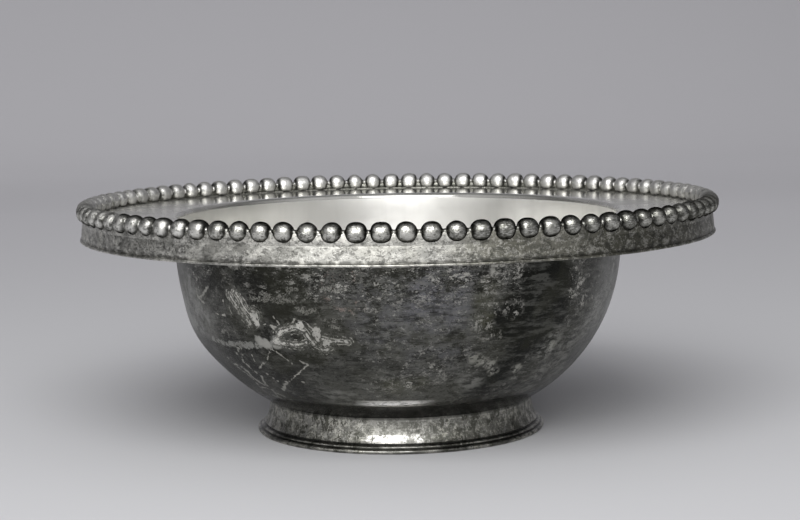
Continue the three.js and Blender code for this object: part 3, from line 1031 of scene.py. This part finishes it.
@dataclass
class FootRing(Piece):
    """The flared foot: a standing edge with a roll and a sunk band, a concave flare and a collar under the belly."""

    name: str = "foot_ring_turned"
    node: str = "foot_ring"
    slot: Slot = Slot.FOOT
    neck_radius: float = 55.5
    steps: int = 224

    def section(self) -> Line:
        """Gives the ring's section, in millimetres."""
        edge = [(57.2, 0.0), (59.3, 0.0), (60.1, 0.12), (60.55, 0.4), (60.76, 0.75), (60.78, 1.1), (60.66, 1.4),
            (60.4, 1.62), (60.0, 1.76), (59.5, 1.84), (59.28, 1.96), (59.2, 2.15), (59.3, 2.4), (59.26, 2.66),
            (59.05, 2.9), (58.6, 3.04), (58.0, 3.14), (57.8, 3.3), (57.78, 3.75), (57.84, 3.95)]
        flare = interpolate_bezier(Vector((57.75, 4.08, 0)), Vector((56.85, 5.25, 0)), Vector((55.9, 7.4, 0)),
            Vector((self.neck_radius, 12.0, 0)), 16)
        top = [(self.neck_radius, 14.0), (53.5, 13.1), (53.5, 9.2), (54.6, 6.0), (56.6, 2.4)]
        return edge + [(p.x, p.y) for p in flare] + top

    def build(self) -> bpy.types.Object:
        """Builds the ring."""
        mesh = bmesh.new()
        chain(mesh, self.section(), self.steps, 0, closed=True)
        shade(mesh, 42.0)
        return self.place(mesh, FootSilver())


@dataclass
class SolderRun(Piece):
    """A run of solder in a corner, uneven along its length."""

    corner: tuple[float, float] = (0.0, 0.0)
    section: tuple[tuple[float, float], ...] = ()
    steps: int = 200
    uneven: float = 0.25

    def build(self) -> bpy.types.Object:
        """Builds the run, drawn towards its corner by a changing amount."""
        mesh = bmesh.new()
        chain(mesh, list(self.section), self.steps, 0, closed=True)
        shade(mesh, 70.0)
        for vert in mesh.verts:
            out = Vector((vert.co.x, vert.co.y, 0.0)).normalized()
            draw = self.uneven * (0.5 + 0.5 * noise.noise(out * 14.0 + Vector((0.0, 0.0, self.corner[1]))))
            corner = out * self.corner[0] * MM + Vector((0.0, 0.0, self.corner[1] * MM))
            vert.co += (corner - vert.co) * draw
        return self.place(mesh, DullSolder())


@dataclass
class Studio:
    """A plain grey sweep under one large soft light, in a room that is pale in front and dim elsewhere."""

    sweep_near: float = -3.2
    sweep_far: float = 1.9
    sweep_bend: float = 1.0
    sweep_height: float = 3.4
    half_width: float = 4.0
    room_rise: float = math.radians(32)
    room: tuple[tuple[float, int], ...] = ((0.05, 0x48484A), (0.45, 0xA4A4A6), (0.85, 0xDCDCDE))
    lens: float = 84.3
    eye: tuple[float, float, float] = (0.0007, -0.788, 0.159)
    eye_tilt: float = 83.61
    eye_roll: float = -0.96

    def sweep(self) -> bpy.types.Object:
        """Builds the floor and the backdrop that it bends up into."""
        mesh = bmesh.new()
        bend = [math.radians(6 * i) for i in range(1, 16)]
        line = [(self.sweep_near, 0.0), (0.0, 0.0), (self.sweep_far, 0.0)]
        line += [(self.sweep_far + self.sweep_bend * math.sin(a), self.sweep_bend * (1 - math.cos(a))) for a in bend]
        line += [(self.sweep_far + self.sweep_bend, self.sweep_height)]
        verts = [mesh.verts.new((-self.half_width, y, z)) for y, z in line]
        edges = [mesh.edges.new(pair) for pair in zip(verts, verts[1:])]
        made = bmesh.ops.extrude_edge_only(mesh, edges=edges)["geom"]
        far_side = [v for v in made if isinstance(v, bmesh.types.BMVert)]
        bmesh.ops.translate(mesh, vec=(2 * self.half_width, 0.0, 0.0), verts=far_side)
        bmesh.ops.recalc_face_normals(mesh, faces=mesh.faces)
        if mesh.faces[:][0].normal.z < 0:
            bmesh.ops.reverse_faces(mesh, faces=mesh.faces)
        for face in mesh.faces:
            face.smooth = True
        floor = to_object("sweep", mesh)
        floor.data.materials.append(self.paper())
        return floor

    def paper(self) -> bpy.types.Material:
        """Builds the sweep's matt grey paper, palest behind the bowl and darker up the backdrop: painted light and
        shade.
        """
        work = Work("grey_backdrop_paper", 0xD0D0D2)
        back = work.add("SeparateXYZ", work.raw, pick="Y")
        work.lay(0xD7D6D9, 1.0, work.add("MapRange", back, 0.2, 1.0))
        work.lay(0xB7B6B9, 1.0, work.add("MapRange", back, 1.1, 2.55))
        work.add("OutputMaterial", work.add("BsdfDiffuse", work.colour, 0.0))
        return work.material

    def light(self, name: str, turn: float, rise: float, far: float, size: tuple[float, float], power: float,
              target: tuple[float, float, float] = (0.0, 0.0, 0.06)) -> None:
        """Adds a soft rectangular light that faces a point.

        Args:
            name: the light's name.
            turn: degrees from the front, positive towards the right.
            rise: degrees over the horizon.
            far: distance from the target, in metres.
            size: width and height in metres.
            power: radiance of its face.
            target: the point it faces.
        """
        data = bpy.data.lights.new(name, "AREA")
        data.shape = "RECTANGLE"
        data.size, data.size_y = size
        data.energy = power * math.pi * size[0] * size[1]
        lamp = bpy.data.objects.new(name, data)
        away = polar(turn, math.cos(math.radians(rise)), math.sin(math.radians(rise)))
        lamp.location = Vector(target) + away * far
        lamp.rotation_euler = away.to_track_quat("Z", "Y").to_euler()
        lamp.visible_camera = False
        bpy.context.scene.collection.objects.link(lamp)

    def world(self) -> None:
        """Sets the room: bright towards the front and above, dim at the back."""
        world = bpy.data.worlds.new("dim_room")
        bpy.context.scene.world = world
        world.use_nodes = True
        world.node_tree.nodes.clear()
        add = partial(add_node, world.node_tree)
        front = polar(0.0, math.cos(self.room_rise), math.sin(self.room_rise))
        facing = add("VectorMath", add("TexCoord", pick="Generated"), tuple(front), operation="DOT_PRODUCT")
        ramp = add("ValToRGB", facing)
        stops = ramp.node.color_ramp.elements
        for place, code in self.room:
            stops.new(place).color = linear(code)
        for index in (len(stops) - 1, 0):
            stops.remove(stops[index])
        add("OutputWorld", add("Background", ramp))

    def camera(self) -> None:
        """Sets the camera where the photograph was taken from."""
        data = bpy.data.cameras.new("camera")
        data.lens = self.lens
        data.sensor_width = 36.0
        data.clip_start = 0.05
        camera = bpy.data.objects.new("camera", data)
        tilt = Matrix.Rotation(math.radians(self.eye_tilt), 4, "X")
        roll = Matrix.Rotation(math.radians(self.eye_roll), 4, "Z")
        camera.matrix_world = Matrix.Translation(self.eye) @ tilt @ roll
        bpy.context.scene.collection.objects.link(camera)
        bpy.context.scene.camera = camera

    def build(self) -> None:
        """Builds the whole studio."""
        self.camera()
        self.sweep()
        self.light("key_softbox", -6.0, 37.5, 1.30, (1.10, 0.74), 5.4)
        self.light("front_strip", -17.0, 13.0, 1.20, (0.80, 0.30), 1.9)
        self.light("backdrop_wash", 0.0, 40.0, 0.9, (3.0, 0.4), 0.8, (-0.6, 2.5, 0.2))
        self.world()
        bpy.context.scene.view_settings.view_transform = "Standard"


def main() -> None:
    """Builds the studio and every piece of the bowl, and reports each."""
    logging.basicConfig(level=logging.INFO, format="%(message)s")
    rim = ((129.85, 87.8), (129.8, 90.4), (127.2, 90.4), (128.9, 89.6), (129.4, 88.9))
    foot = ((53.5, 10.5), (53.5, 12.9), (51.2, 11.8), (52.6, 11.6))
    Studio().build()
    for piece in (
        BowlShell(),
        ApronBand(),
        BeadString(),
        FootRing(),
        SolderRun("rim_solder_run", "rim_solder_seam", Slot.SOLDER, (129.6, 90.3), rim),
        SolderRun("foot_solder_run", "foot_solder_seam", Slot.SOLDER, (53.4, 12.6), foot),
    ):
        piece.build()


if __name__ == "__main__":
    main()
